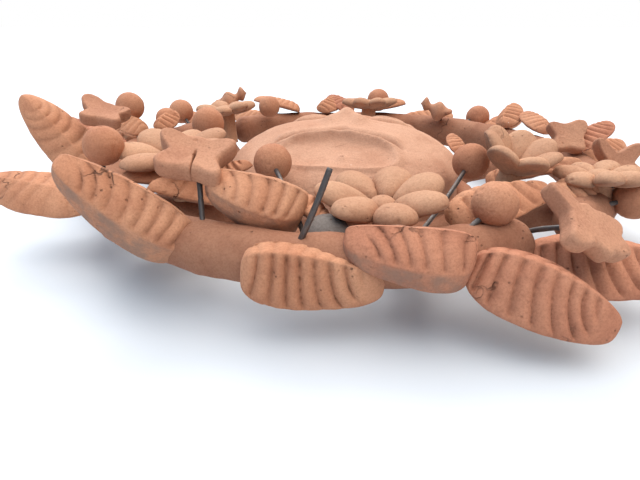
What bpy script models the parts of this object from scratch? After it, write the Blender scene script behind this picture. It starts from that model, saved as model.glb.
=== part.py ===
"""Fired clay tree-of-life plaque, lying on its back.

A press-moulded face sits inside a hand-rolled collar. Short branches join the collar to an outer
ring made of two coils. Leaves, flowers, berries on wires and butterflies on wires are seated on it.

Metres, +Z up. The origin is the centre of the plaque on the plane of the face's back rim.
Bearings are degrees anticlockwise from +X, and the chin of the face points to bearing 270.
"""
import math

import bpy
import bmesh
from mathutils import Euler, Matrix, Vector

COLLECTION_NAME = "clay_tree_of_life"

# Fits
GAP = 0.0003                 # between meshes that touch
GROWTH = 1.5 * GAP           # growth of a neighbour's shape, which leaves about GAP on slanted faces
WIRE_CLEARANCE = 0.0003      # round a wire in its bore
SINK = 0.0022                # how far a piece is pressed into the coil it sits on

# Face
FACE_RADIUS = 0.051
FACE_WALL_HEIGHT = 0.026     # straight side wall below the dome
FACE_DOME_RISE = 0.0185
FACE_WALL = 0.006
FACE_TURN = -8.0             # the features lean a little clockwise
FACE_SEGMENTS = 56
FACE_RINGS = 40
HOLLOW_SEGMENTS = 32
HOLLOW_RINGS = 16

# Coils
COLLAR_TUBE = 0.0052
COLLAR_HEIGHT = 0.0085
RING_RADIUS = 0.102
RING_TUBE = 0.0083
RING_HEIGHT = 0.0225
COIL_STEP = 7.5              # degrees between the rolled coil's stations
COILS = {
    "ring_coil_front": (128.0, 299.0),
    "ring_coil_back": (311.0, 487.7),
}
BRANCH_TUBE = 0.0052
BRANCH_WAVE = 0.0022
BRANCH_STATIONS = 7
BRANCH_BEARINGS = (283.0, 322.0, 18.0, 77.0, 141.0, 214.0)

# Berries and wires
BERRY_RADIUS = 0.007
WIRE_RADIUS = 0.0008
BARE_WIRE_RADIUS = 0.00105
WIRE_ROOT = 0.005            # wire buried in the coil
WIRE_HEAD = 0.004            # wire buried in the berry or butterfly

# Leaves, flowers, butterflies
LEAF_THICKNESS = 0.0085
LEAF_SEGMENTS = 12
LEAF_RINGS = 9
PETAL_LIFT = 0.0045          # rise of a petal's end over its root
PETAL_THICKNESS = 0.0048
PETAL_VALLEY = 0.60          # reach between two petals, as a share of a petal's reach
BOSS_RADIUS = 0.0055
BOSS_RISE = 0.0030
BUTTERFLY_THICKNESS = 0.0052

# Leaf: seat bearing, seat angle and depth on the ring, heading, pitch, roll, length, width.
LEAVES = {
    "leaf_01": (213, 10, SINK, 168, 8, -25, 0.044, 0.022),
    "leaf_02": (188, 5, SINK, 170, 48, -45, 0.043, 0.022),
    "leaf_03": (243, -25, SINK, 178, 36, 75, 0.045, 0.022),
    "leaf_04": (254, 0, -0.001, 359, -7, 72, 0.038, 0.020),
    "leaf_05": (283.4, 10, -0.0058, 175, 8, 80, 0.033, 0.018),
    "leaf_06": (285, 5, -0.001, 340, -17, 48, 0.0385, 0.021),
    "leaf_07": (296, -35, SINK, 358, -3, 30, 0.047, 0.024),
    "leaf_08": (338, 0, SINK, 338, 8, -20, 0.043, 0.022),
    "leaf_09": (4, 0, SINK, 28, 5, 12, 0.0395, 0.022),
    "leaf_10": (38, 0, SINK, 44, 10, -8, 0.042, 0.022),
    "leaf_11": (68, 0, SINK, 27, 4, 10, 0.043, 0.022),
    "leaf_12": (112, 0, SINK, 146, 6, -10, 0.0360, 0.023),
    "leaf_13": (133, 0, SINK, 138, 8, 12, 0.043, 0.022),
    "leaf_14": (162, 0, SINK, 166, 12, -12, 0.042, 0.022),
    "leaf_15": (259, 150, 0.0, 174, 20, 75, 0.0285, 0.020),
    "leaf_16": (290, 165, -0.008, 22, 8, 15, 0.038, 0.019),
}

# Flower: bearing, place between the coils as a share of the space, height, radius, lean, spin.
FLOWERS = {
    "flower_01": (277, 0.60, 0.0325, 0.0180, 15, 0),
    "flower_02": (215, 0.52, 0.034, 0.0205, 8, 20),
    "flower_03": (318, 0.48, 0.034, 0.0180, 14, 10),
    "flower_04": (324, 1.28, 0.035, 0.0150, -6, 35),
    "flower_05": (77, 0.55, 0.033, 0.0175, 8, 5),
    "flower_06": (141, 0.55, 0.034, 0.0175, 6, 25),
}
PETALS = 7

# Where a wire is rooted: a coil's name with bearing and seat angle, or a branch with its share.
# Where its berry or butterfly is: bearing, distance out and up from the ring's centre line.
BERRIES = {
    "berry_01": (("ring", 284, 60), (292.4, -0.0025, 0.0125)),
    "berry_02": (("ring", 262, 120), (239.7, -0.0464, 0.0135)),
    "berry_03": (("branch", 283, 0.5), (319.7, -0.0417, 0.0115)),
    "berry_04": (("ring", 205, 70), (209.9, -0.0017, 0.0200)),
    "berry_05": (("ring", 319, 80), (325.4, 0.0125, 0.0055)),
    "berry_06": (("ring", 47, 70), (45.0, 0.0180, 0.0075)),
    "berry_07": (("collar", 186, 60), (182.9, -0.0420, 0.0195)),
    "berry_08": (("ring", 143, 80), (141.2, 0.0160, 0.0125)),
    "berry_09": (("ring", 168, 80), (163.2, 0.0087, 0.0215)),
}

# Butterfly: root and centre as for a berry, then heading, pitch, roll and span.
BUTTERFLIES = {
    "butterfly_01": (("ring", 245, 55), (241.3, -0.0062, 0.0235), (85, 6, 8, 0.023)),
    "butterfly_02": (("ring", 178, 90), (186.2, -0.0005, 0.0255), (70, 10, 15, 0.022)),
    "butterfly_03": (("ring", 297, 100), (299.1, 0.0170, 0.0105), (100, 18, 25, 0.028)),
    "butterfly_04": (("ring", 345, 90), (340.0, 0.0050, 0.0115), (60, 30, 10, 0.022)),
}

BARE_WIRE = (("ring", 260, 45), (265.2, -0.0013, 0.0255))

CLAY = (0.46, 0.20, 0.11)
WIRE_METAL = (0.06, 0.05, 0.045)


def clear_scene():
    """Remove every object that the file opened with."""
    for item in list(bpy.data.objects):
        bpy.data.objects.remove(item, do_unlink=True)


def make_collection(name):
    """Return a new collection linked to the scene."""
    collection = bpy.data.collections.new(name)
    bpy.context.scene.collection.children.link(collection)
    return collection


def make_material(name, colour, roughness, metallic):
    """Return a Principled material."""
    material = bpy.data.materials.new(name)
    material.use_nodes = True
    shader = material.node_tree.nodes["Principled BSDF"]
    shader.inputs["Base Color"].default_value = (*colour, 1.0)
    shader.inputs["Roughness"].default_value = roughness
    shader.inputs["Metallic"].default_value = metallic
    return material


def direction(bearing, pitch=0.0):
    """Unit vector at a bearing and a pitch, both in degrees."""
    flat = math.cos(math.radians(pitch))
    turn = math.radians(bearing)
    return Vector((flat * math.cos(turn), flat * math.sin(turn), math.sin(math.radians(pitch))))


def polar(bearing, radius, height):
    """Point at a bearing, a radius from the plaque's axis and a height."""
    point = direction(bearing) * radius
    point.z = height
    return point


def ring_seat(bearing, seat_angle, depth):
    """Point inside the ring's coil, a depth under its surface; seat angle 0 is outermost, 90 on top."""
    reach = RING_TUBE - depth
    angle = math.radians(seat_angle)
    return polar(bearing, RING_RADIUS + reach * math.cos(angle), RING_HEIGHT + reach * math.sin(angle))


def collar_seat(bearing, seat_angle, depth):
    """Point inside the collar, a depth under its surface; the seat angle is as on the ring."""
    reach = COLLAR_TUBE - depth
    angle = math.radians(seat_angle)
    return polar(bearing, collar_radius() + reach * math.cos(angle),
                 COLLAR_HEIGHT + reach * math.sin(angle))


def wire_root(kind, bearing, place):
    """Buried end of a wire: in the ring or the collar at a seat angle, or in a branch at a share."""
    if kind == "ring":
        return ring_seat(bearing, place, WIRE_ROOT)
    if kind == "collar":
        return collar_seat(bearing, place, WIRE_ROOT)
    return branch_point(bearing, place)


def collar_radius():
    """Centre-line radius of the collar, pressed against the face's side wall."""
    return FACE_RADIUS + COLLAR_TUBE - SINK / 2


def between_coils(bearing, share, height):
    """Point between the collar's outside and the ring's inside."""
    inner = collar_radius() + COLLAR_TUBE
    outer = RING_RADIUS - RING_TUBE
    return polar(bearing, inner + share * (outer - inner), height)


def placement(origin, heading, pitch, roll):
    """Matrix with X along the heading and pitch, rolled about X."""
    turn = Euler((math.radians(roll), math.radians(-pitch), math.radians(heading)), "XYZ")
    return Matrix.Translation(origin) @ turn.to_matrix().to_4x4()


class Piece:
    """A named solid and the clean, slightly grown bodies that cut its neighbours."""

    def __init__(self, name, item):
        self.name = name
        self.item = item
        self.envelopes = []


def link_mesh(name, mesh, matrix, collection):
    """Put a mesh in a new object at a placement."""
    item = bpy.data.objects.new(name, mesh)
    item.matrix_world = matrix
    collection.objects.link(item)
    return item


def hide_cutter(item):
    """Show a cutter as wire and keep it out of the build."""
    item.hide_render = True
    item.display_type = "WIRE"


def baked_mesh(item):
    """Return the object's evaluated mesh as new mesh data."""
    bpy.context.view_layer.update()
    graph = bpy.context.evaluated_depsgraph_get()
    return bpy.data.meshes.new_from_object(item.evaluated_get(graph), depsgraph=graph)


def bake_modifiers(item):
    """Apply the object's modifiers."""
    mesh = baked_mesh(item)
    item.modifiers.clear()
    item.data = mesh


def boolean(item, tool, operation):
    """Cut or join an object with another, exactly."""
    modifier = item.modifiers.new("boolean", "BOOLEAN")
    modifier.operation = operation
    modifier.object = tool
    modifier.solver = "EXACT"
    bake_modifiers(item)


def grown_copy(item, growth, cutters):
    """Return a cutter that is the object's shape grown along its normals."""
    copy = link_mesh(item.name + "_envelope", item.data.copy(), item.matrix_world.copy(), cutters)
    modifier = copy.modifiers.new("grow", "DISPLACE")
    modifier.mid_level = 0.0
    modifier.strength = growth
    bake_modifiers(copy)
    hide_cutter(copy)
    return copy


def world_box(item):
    """Lowest and highest world corners of an object's mesh."""
    corners = [item.matrix_world @ vertex.co for vertex in item.data.vertices]
    low = Vector([min(corner[axis] for corner in corners) for axis in range(3)])
    high = Vector([max(corner[axis] for corner in corners) for axis in range(3)])
    return low, high


def boxes_meet(first, second):
    """True where two (low, high) boxes overlap."""
    return all(first[0][axis] < second[1][axis] and second[0][axis] < first[1][axis]
               for axis in range(3))


def keep_largest_body(item):
    """Keep the connected body with the largest volume."""
    mesh = bmesh.new()
    mesh.from_mesh(item.data)
    bodies = []
    waiting = set(mesh.faces)
    while waiting:
        front = [waiting.pop()]
        body = set(front)
        while front:
            face = front.pop()
            for edge in face.edges:
                for other in edge.link_faces:
                    if other in waiting:
                        waiting.discard(other)
                        body.add(other)
                        front.append(other)
        bodies.append(body)
    if len(bodies) > 1:
        def volume(body):
            total = 0.0
            for face in body:
                points = [vertex.co for vertex in face.verts]
                for index in range(1, len(points) - 1):
                    total += points[0].dot(points[index].cross(points[index + 1]))
            return total
        bodies.sort(key=volume)
        spare = [face for body in bodies[:-1] for face in body]
        bmesh.ops.delete(mesh, geom=spare, context="FACES")
        loose = [vertex for vertex in mesh.verts if not vertex.link_faces]
        bmesh.ops.delete(mesh, geom=loose, context="VERTS")
    mesh.to_mesh(item.data)
    mesh.free()


def fit(piece, earlier):
    """Cut a piece by the envelopes of the earlier pieces that it meets."""
    for other in earlier:
        for envelope in other.envelopes:
            if boxes_meet(world_box(piece.item), world_box(envelope)):
                boolean(piece.item, envelope, "DIFFERENCE")
    keep_largest_body(piece.item)


def shade(item, angle=40.0):
    """Shade smooth, with the edges sharper than the angle kept."""
    item.data.shade_smooth()
    item.data.set_sharp_from_angle(angle=math.radians(angle))


def face_surface(side, front):
    """Height of the features above the plain dome, at a place across and up the face."""
    def bump(centre_side, centre_front, half_side, half_front, height):
        reach = ((side - centre_side) / half_side) ** 2 + ((front - centre_front) / half_front) ** 2
        return height * math.exp(-reach)
    nose = bump(0, 0.006, 0.0075, 0.008, 0.0052) + bump(0, 0.018, 0.005, 0.009, 0.0030)
    mouth_line = -0.015 + 0.16 * side * side / FACE_RADIUS
    upper_lip = bump(0, mouth_line + 0.0060, 0.024, 0.0042, 0.0018)
    lower_lip = bump(0, mouth_line - 0.0060, 0.021, 0.0042, 0.0016)
    crease = bump(0, mouth_line, 0.028, 0.0026, -0.0018)
    eyes = sum(bump(way * 0.019, 0.017, 0.0085, 0.0045, 0.0022) for way in (-1, 1))
    brows = sum(bump(way * 0.019, 0.0255, 0.012, 0.003, 0.0016) for way in (-1, 1))
    chin = bump(0, -0.033, 0.012, 0.008, 0.0015)
    return nose + upper_lip + lower_lip + crease + eyes + brows + chin


def dome_height(radius, reach, rise):
    """Height of a dome over its springing, flat in the middle and steep at its edge."""
    share = min(radius / reach, 1.0)
    return rise * (1.0 - share ** 2.3) ** 0.62


def dome_mesh(name, reach, wall_height, rise, segments, rings, featured):
    """Closed drum with a domed top, from half a UV sphere whose rings are moved."""
    mesh = bmesh.new()
    bmesh.ops.create_uvsphere(mesh, u_segments=segments, v_segments=rings, radius=1.0)
    lower_half = [vertex for vertex in mesh.verts if vertex.co.z < -0.001]
    bmesh.ops.delete(mesh, geom=lower_half, context="VERTS")
    rim = [edge for edge in mesh.edges if edge.is_boundary]
    bmesh.ops.contextual_create(mesh, geom=rim)
    turn = Matrix.Rotation(math.radians(FACE_TURN), 3, "Z")
    for vertex in mesh.verts:
        polar_angle = math.acos(max(-1.0, min(1.0, vertex.co.z)))
        share = polar_angle / (math.pi / 2)
        flat = Vector((vertex.co.x, vertex.co.y, 0.0))
        if share < 1e-6:
            vertex.co = Vector((0.0, 0.0, wall_height + rise))
        elif share > 0.999:
            vertex.co = flat.normalized() * reach
        else:
            radius = reach * math.sin(min(share / 0.92, 1.0) * math.pi / 2)
            height = wall_height + dome_height(radius, reach, rise)
            vertex.co = flat.normalized() * radius + Vector((0.0, 0.0, height))
        if featured and 0.0 < share < 0.9:
            vertex.co.z += face_surface(vertex.co.x, vertex.co.y)
        elif featured and share < 1e-6:
            vertex.co.z += face_surface(0.0, 0.0)
    if featured:
        bmesh.ops.transform(mesh, matrix=turn.to_4x4(), verts=mesh.verts)
    bmesh.ops.recalc_face_normals(mesh, faces=mesh.faces)
    data = bpy.data.meshes.new(name)
    mesh.to_mesh(data)
    mesh.free()
    return data


def make_face(parts, cutters):
    """The press-moulded face: a domed drum, hollow and open at the back."""
    outer = dome_mesh("face_mask", FACE_RADIUS, FACE_WALL_HEIGHT, FACE_DOME_RISE,
                      FACE_SEGMENTS, FACE_RINGS, True)
    item = link_mesh("face_mask", outer, Matrix.Identity(4), parts)
    piece = Piece("face_mask", item)
    piece.envelopes.append(grown_copy(item, GROWTH, cutters))
    inner = dome_mesh("face_hollow", FACE_RADIUS - FACE_WALL, FACE_WALL_HEIGHT + 2 * FACE_WALL,
                      FACE_DOME_RISE, HOLLOW_SEGMENTS, HOLLOW_RINGS, False)
    hollow = link_mesh("face_hollow", inner, Matrix.Translation((0, 0, -3 * FACE_WALL)), cutters)
    hide_cutter(hollow)
    boolean(item, hollow, "DIFFERENCE")
    return piece


def tube_object(name, points, radii, bevel_resolution, cyclic, parts):
    """Round tube along points, made from a bevelled curve and welded."""
    curve = bpy.data.curves.new(name, "CURVE")
    curve.dimensions = "3D"
    curve.bevel_depth = 1.0
    curve.bevel_resolution = bevel_resolution
    curve.use_fill_caps = True
    spline = curve.splines.new("POLY")
    spline.points.add(len(points) - 1)
    spline.use_cyclic_u = cyclic
    for station, point, radius in zip(spline.points, points, radii):
        station.co = (*point, 1.0)
        station.radius = radius
    guide = link_mesh(name + "_guide", curve, Matrix.Identity(4), parts)
    data = baked_mesh(guide)
    matrix = guide.matrix_world.copy()
    bpy.data.objects.remove(guide, do_unlink=True)
    mesh = bmesh.new()
    mesh.from_mesh(data)
    bmesh.ops.remove_doubles(mesh, verts=mesh.verts, dist=0.000001)
    bmesh.ops.recalc_face_normals(mesh, faces=mesh.faces)
    mesh.to_mesh(data)
    mesh.free()
    data.name = name
    return link_mesh(name, data, matrix, parts)


def make_collar(parts, cutters):
    """The closed coil pressed round the face."""
    count = 36
    points = [polar(360.0 * index / count, collar_radius(), COLLAR_HEIGHT) for index in range(count)]
    item = tube_object("collar_coil", points, [COLLAR_TUBE] * count, 3, True, parts)
    piece = Piece("collar_coil", item)
    piece.envelopes.append(grown_copy(item, GROWTH, cutters))
    return piece


def make_coil(name, start, end, parts, cutters):
    """One rolled coil of the outer ring, with rounded ends."""
    count = max(3, round((end - start) / COIL_STEP))
    tip = math.degrees(RING_TUBE / RING_RADIUS)
    bearings = [start, start + 0.15 * tip, start + 0.5 * tip]
    bearings += [start + tip + (end - start - 2 * tip) * index / count for index in range(count + 1)]
    bearings += [end - 0.5 * tip, end - 0.15 * tip, end]
    rounding = [0.55, 0.78, 0.93]
    shares = rounding + [1.0] * (count + 1) + rounding[::-1]
    points = [polar(bearing, RING_RADIUS, RING_HEIGHT) for bearing in bearings]
    item = tube_object(name, points, [RING_TUBE * share for share in shares], 4, False, parts)
    piece = Piece(name, item)
    piece.envelopes.append(grown_copy(item, GROWTH, cutters))
    return piece


def branch_height(share):
    """Height of a branch's centre at a share of its way from collar to ring."""
    return COLLAR_HEIGHT + min(share, 1.0) * (RING_HEIGHT - COLLAR_HEIGHT)


def branch_point(bearing, share):
    """Centre of a wavy branch at a share of its way from collar to ring."""
    start = collar_radius()
    radius = start + share * (RING_RADIUS - start)
    height = branch_height(share)
    side = BRANCH_WAVE * math.sin(2 * math.pi * share)
    return polar(bearing, radius, height) + direction(bearing + 90) * side


def make_branch(index, bearing, parts, cutters):
    """A short wavy branch from the collar to the ring."""
    name = f"branch_{index:02d}"
    points = [branch_point(bearing, station / (BRANCH_STATIONS - 1))
              for station in range(BRANCH_STATIONS)]
    item = tube_object(name, points, [BRANCH_TUBE] * BRANCH_STATIONS, 2, False, parts)
    piece = Piece(name, item)
    piece.envelopes.append(grown_copy(item, GROWTH, cutters))
    return piece


def make_wire(name, root, head, radius, parts, cutters):
    """A straight wire from its root in the coil to its head, with the bore that holds it."""
    item = tube_object(name, [root, head], [radius, radius], 2, False, parts)
    piece = Piece(name, item)
    along = (head - root).normalized() * WIRE_CLEARANCE
    bore_radius = radius + WIRE_CLEARANCE
    bore = tube_object(name + "_bore", [root - along, head + along], [bore_radius, bore_radius],
                       2, False, cutters)
    hide_cutter(bore)
    piece.envelopes.append(bore)
    return piece


def make_berry(name, centre, cutters, parts):
    """A clay ball."""
    mesh = bmesh.new()
    bmesh.ops.create_uvsphere(mesh, u_segments=12, v_segments=9, radius=BERRY_RADIUS)
    data = bpy.data.meshes.new(name)
    mesh.to_mesh(data)
    mesh.free()
    piece = Piece(name, link_mesh(name, data, Matrix.Translation(centre), parts))
    piece.envelopes.append(grown_copy(piece.item, GROWTH, cutters))
    return piece


def make_leaf(name, matrix, length, width, parts, cutters):
    """A leaf with a flat back, a rounded base, a pointed tip and a crest along its ribbed face."""
    mesh = bmesh.new()
    bmesh.ops.create_uvsphere(mesh, u_segments=LEAF_SEGMENTS, v_segments=LEAF_RINGS, radius=1.0)
    bmesh.ops.rotate(mesh, verts=mesh.verts, matrix=Matrix.Rotation(math.pi / 2, 3, "Y"))
    for vertex in mesh.verts:
        along = (vertex.co.x + 1.0) / 2
        narrowing = 1.12 - 0.42 * along
        across = vertex.co.y * narrowing
        rise = vertex.co.z
        if rise > 0:
            height = LEAF_THICKNESS * (0.85 * rise * narrowing)
        else:
            height = LEAF_THICKNESS * 0.15 * rise
        vertex.co = Vector((length * along, width / 2 * across, height))
    data = bpy.data.meshes.new(name)
    mesh.to_mesh(data)
    mesh.free()
    piece = Piece(name, link_mesh(name, data, matrix, parts))
    piece.envelopes.append(grown_copy(piece.item, GROWTH, cutters))
    return piece


def flower_profile(petal_reach, stem_height):
    """Stations of a flower's half section, top to bottom: radius, height, share that follows petals."""
    return [
        (0.0, BOSS_RISE, 0.0),
        (BOSS_RADIUS, BOSS_RISE * 0.8, 0.0),
        (BOSS_RADIUS * 1.3, BOSS_RISE * 0.5, 0.25),
        (petal_reach * 0.72, PETAL_LIFT * 0.6 + PETAL_THICKNESS * 0.7, 1.0),
        (petal_reach, PETAL_LIFT + PETAL_THICKNESS * 0.15, 1.0),
        (petal_reach * 0.70, PETAL_LIFT * 0.6 - PETAL_THICKNESS * 0.5, 1.0),
        (BOSS_RADIUS * 0.95, -PETAL_THICKNESS * 0.6, 0.0),
        (BOSS_RADIUS, -stem_height, 0.0),
        (0.0, -stem_height, 0.0),
    ]


def make_flower(name, bearing, share, height, reach, lean, spin, parts, cutters):
    """A flower of domed petals round a low boss on a short stem, from a UV sphere whose rings move."""
    centre = between_coils(bearing, share, height)
    profile = flower_profile(reach, height - branch_height(share))
    mesh = bmesh.new()
    bmesh.ops.create_uvsphere(mesh, u_segments=PETALS * 4, v_segments=len(profile) - 1, radius=1.0)
    for vertex in mesh.verts:
        ring = round(math.acos(max(-1.0, min(1.0, vertex.co.z))) / math.pi * (len(profile) - 1))
        radius, level, follow = profile[ring]
        turn = math.atan2(vertex.co.y, vertex.co.x)
        petal = PETAL_VALLEY + (1.0 - PETAL_VALLEY) * abs(math.cos(turn * PETALS / 2)) ** 0.5
        radius *= 1.0 + follow * (petal - 1.0)
        vertex.co = Vector((radius * math.cos(turn), radius * math.sin(turn), level))
    data = bpy.data.meshes.new(name)
    mesh.to_mesh(data)
    mesh.free()
    matrix = placement(centre, bearing, -lean, 0) @ Matrix.Rotation(math.radians(spin), 4, "Z")
    piece = Piece(name, link_mesh(name, data, matrix, parts))
    piece.envelopes.append(grown_copy(piece.item, GROWTH, cutters))
    return piece


def butterfly_outline(span):
    """Outline of four wings: two long upper lobes and two short lower lobes."""
    points = []
    count = 28
    for index in range(count):
        angle = 2 * math.pi * index / count
        lobe = 0.62 + 0.30 * math.cos(4 * angle - math.pi) + 0.08 * math.cos(2 * angle)
        lobe += 0.06 * math.sin(angle)
        points.append((span / 2 * lobe * math.cos(angle) * 1.12,
                       span / 2 * lobe * math.sin(angle)))
    return points


def make_butterfly(name, matrix, span, parts, cutters):
    """A thick slab with a four-winged outline."""
    curve = bpy.data.curves.new(name, "CURVE")
    curve.dimensions = "2D"
    curve.fill_mode = "BOTH"
    curve.extrude = BUTTERFLY_THICKNESS / 2
    spline = curve.splines.new("POLY")
    outline = butterfly_outline(span)
    spline.points.add(len(outline) - 1)
    spline.use_cyclic_u = True
    for station, point in zip(spline.points, outline):
        station.co = (*point, 0.0, 1.0)
    guide = link_mesh(name + "_guide", curve, matrix, parts)
    data = baked_mesh(guide)
    bpy.data.objects.remove(guide, do_unlink=True)
    mesh = bmesh.new()
    mesh.from_mesh(data)
    bmesh.ops.remove_doubles(mesh, verts=mesh.verts, dist=0.000001)
    bmesh.ops.recalc_face_normals(mesh, faces=mesh.faces)
    mesh.to_mesh(data)
    mesh.free()
    piece = Piece(name, link_mesh(name, data, matrix, parts))
    piece.envelopes.append(grown_copy(piece.item, GROWTH * 1.5, cutters))
    return piece


def head_centre(bearing, out, up):
    """Centre of a berry or butterfly, from the ring's centre line."""
    return polar(bearing, RING_RADIUS + out, RING_HEIGHT + up)


def build():
    """Make every piece in order of fit, and cut each by the earlier ones."""
    clear_scene()
    parts = make_collection(COLLECTION_NAME)
    cutters = make_collection("cutters")
    pieces = [make_face(parts, cutters)]
    wires = []
    heads = []
    for name, (seat, place) in BERRIES.items():
        root = wire_root(*seat)
        centre = head_centre(*place)
        back = (centre - root).normalized() * (BERRY_RADIUS - WIRE_HEAD)
        wires.append(make_wire(name.replace("berry", "berry_wire"), root, centre - back,
                               WIRE_RADIUS, parts, cutters))
        heads.append(make_berry(name, centre, cutters, parts))
    for name, (seat, place, (heading, pitch, roll, span)) in BUTTERFLIES.items():
        centre = head_centre(*place)
        wires.append(make_wire(name.replace("butterfly", "butterfly_wire"), wire_root(*seat), centre,
                               WIRE_RADIUS, parts, cutters))
        heads.append(make_butterfly(name, placement(centre, heading, pitch, roll), span,
                                    parts, cutters))
    seat, place = BARE_WIRE
    wires.append(make_wire("bare_wire", wire_root(*seat), head_centre(*place), BARE_WIRE_RADIUS,
                           parts, cutters))
    clay = [make_collar(parts, cutters)]
    clay += [make_coil(name, *span, parts, cutters) for name, span in COILS.items()]
    clay += [make_branch(index + 1, bearing, parts, cutters)
             for index, bearing in enumerate(BRANCH_BEARINGS)]
    clay += heads
    clay += [make_flower(name, *values, parts, cutters) for name, values in FLOWERS.items()]
    for name, values in LEAVES.items():
        bearing, angle, depth, heading, pitch, roll, length, width = values
        matrix = placement(ring_seat(bearing, angle, depth), heading, pitch, roll)
        clay.append(make_leaf(name, matrix, length, width, parts, cutters))
    fitted = pieces + wires
    for piece in clay:
        fit(piece, fitted)
        fitted.append(piece)
    for piece in fitted:
        colour, roughness, metallic = (CLAY, 0.85, 0.0)
        if "wire" in piece.name:
            colour, roughness, metallic = (WIRE_METAL, 0.55, 1.0)
        piece.item.data.materials.clear()
        piece.item.data.materials.append(make_material(piece.name + "_finish", colour, roughness,
                                                       metallic))
        shade(piece.item)


build()
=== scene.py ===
"""Looks of a fired clay tree-of-life plaque that lies on its back.

A face in the middle, coils round it, and a wreath of leaves, flowers, clay balls and butterflies on wires.
Every piece is a surface worked out on a grid of rings and laid where its solid is in the frame.
A grid's first index runs along the piece and its second runs round it. Lengths are in metres.
"""
import itertools
import math

import bpy
import numpy as np
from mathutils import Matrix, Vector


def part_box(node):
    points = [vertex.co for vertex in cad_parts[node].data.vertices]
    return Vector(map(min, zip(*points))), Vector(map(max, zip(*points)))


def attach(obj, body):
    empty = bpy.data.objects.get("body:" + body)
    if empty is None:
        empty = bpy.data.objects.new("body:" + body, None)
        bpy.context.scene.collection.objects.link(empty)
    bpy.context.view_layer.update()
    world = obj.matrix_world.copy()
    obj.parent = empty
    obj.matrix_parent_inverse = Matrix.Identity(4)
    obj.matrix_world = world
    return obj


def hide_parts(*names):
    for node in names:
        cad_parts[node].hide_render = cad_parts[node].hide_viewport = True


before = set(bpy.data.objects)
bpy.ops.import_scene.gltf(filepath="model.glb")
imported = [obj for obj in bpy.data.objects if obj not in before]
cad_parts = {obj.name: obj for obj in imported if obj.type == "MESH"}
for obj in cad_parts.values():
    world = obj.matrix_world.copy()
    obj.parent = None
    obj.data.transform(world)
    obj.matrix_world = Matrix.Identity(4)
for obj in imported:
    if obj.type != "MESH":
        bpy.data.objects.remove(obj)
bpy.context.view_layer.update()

BODY = "root"

# Leaves
LEAF_ROWS = 132
LEAF_ROUND = 116
SHRINK = 0.985               # keeps the lumps inside the solid's own box
LEAF_BURIED = 0.0015         # how far a leaf's base runs on into the clay that holds it
RIB_DEPTH = 0.0015
SPLIT_WIDTH = 0.00028
SPLIT_DEPTH = 0.0009

# Flowers
PETALS = 7
PETAL_ROWS = 40
PETAL_ROUND = 44
PETAL_THICK = 0.0052
PETAL_LIFT = 0.06            # rise of a petal's end, as a share of its length
PETAL_START = 0.13           # where a petal starts, as a share of the flower's radius
BOSS_RADIUS = 0.0042
STEM_ROUND = 40

# Round pieces
BALL_ROWS = 56
BALL_ROUND = 84
COIL_ROUND = 76
COIL_ROWS_A_DEGREE = 2.4
COIL_SHRINK = 0.955
COLLAR_ROWS = 400
COLLAR_ROUND = 40
COLLAR_SHRINK = 0.96
BRANCH_ROWS = 70
BRANCH_ROUND = 48
BRANCH_WAVE = 0.0022
WIRE_ROWS = 40
WIRE_ROUND = 14
BARE_WIRE_SHARE = 0.82       # the bare wire's radius as a share of its solid's
SLAB_ROUND = 200
SLAB_THICK = 0.0052
SLAB_FLAT_ROWS = 34
SLAB_EDGE_ROWS = 9
SLIT_DEPTH = 0.0022

# Face
FACE_ROUND = 288
FACE_TURN = math.radians(-10)
FACE_WALL = 0.006
DOME_RISE = 0.0185
MOUTH_HALF = 0.0275
MOUTH_LINE = -0.0200
NUB = (0.0035, -0.0345)      # the small raised dot on the chin
EYE = (0.0185, 0.0165)       # middle of an eye, to the side and to the brow
EYE_HALF = (0.0098, 0.0056)
BROW = (0.0175, 0.0268)
BROW_HALF = 0.013

# Room: floor, suns as name, strength, tilt and turn in degrees, and the camera
FLOOR_SIZE = 30
FLOOR_DROP = 0.0002
FLOOR_COLOUR = (0.66, 0.68, 0.715)
SUNS = (("back_window", 1.8, -46, 14), ("front_wall", 0.6, 30, 14))
SUN_SPREAD = math.radians(40)
SUN_COLOUR = (1.0, 0.965, 0.92)
CAMERA_PLACE = (-0.011, -0.225, 0.0815)
CAMERA_TILT = math.radians(66.8)
CAMERA_LENS = 28.2375        # millimetres, on a sensor 36 wide

# Soft sky: brightness at the horizon and overhead, how steeply it climbs, and its tints
SKY_LOW = 0.10
SKY_HIGH = 3.3
SKY_POWER = 2.2
COOL_SIDE = (0.34, 0.68, 1.0)
WARM_SIDE = (1.0, 0.95, 0.87)
OVERHEAD = (1.0, 0.975, 0.94)

UP = np.array([0.0, 0.0, 1.0])


# ---------------------------------------------------------------- measuring the frame

def triangles(node):
    """Corners of a CAD node's triangles, as an array of (count, 3 corners, 3)."""
    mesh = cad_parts[node].data
    points = np.empty(len(mesh.vertices) * 3, np.float32)
    mesh.vertices.foreach_get("co", points)
    mesh.calc_loop_triangles()
    corners = np.empty(len(mesh.loop_triangles) * 3, np.int32)
    mesh.loop_triangles.foreach_get("vertices", corners)
    return points.reshape(-1, 3).astype(float)[corners].reshape(-1, 3, 3)


def unit(vector):
    """The vector at length one."""
    return vector / np.linalg.norm(vector, axis=-1, keepdims=True)


def spread(node):
    """Middle and the long, wide and thin axes of a node's surface, from its area-weighted covariance."""
    corners = triangles(node)
    area = np.linalg.norm(np.cross(corners[:, 1] - corners[:, 0], corners[:, 2] - corners[:, 0]), axis=1)
    centre = corners.mean(1)
    middle = (centre * area[:, None]).sum(0) / area.sum()
    away = centre - middle
    axes = np.linalg.eigh((away * area[:, None]).T @ away)[1]
    return middle, axes[:, 2], axes[:, 1], axes[:, 0], corners.reshape(-1, 3)


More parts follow.
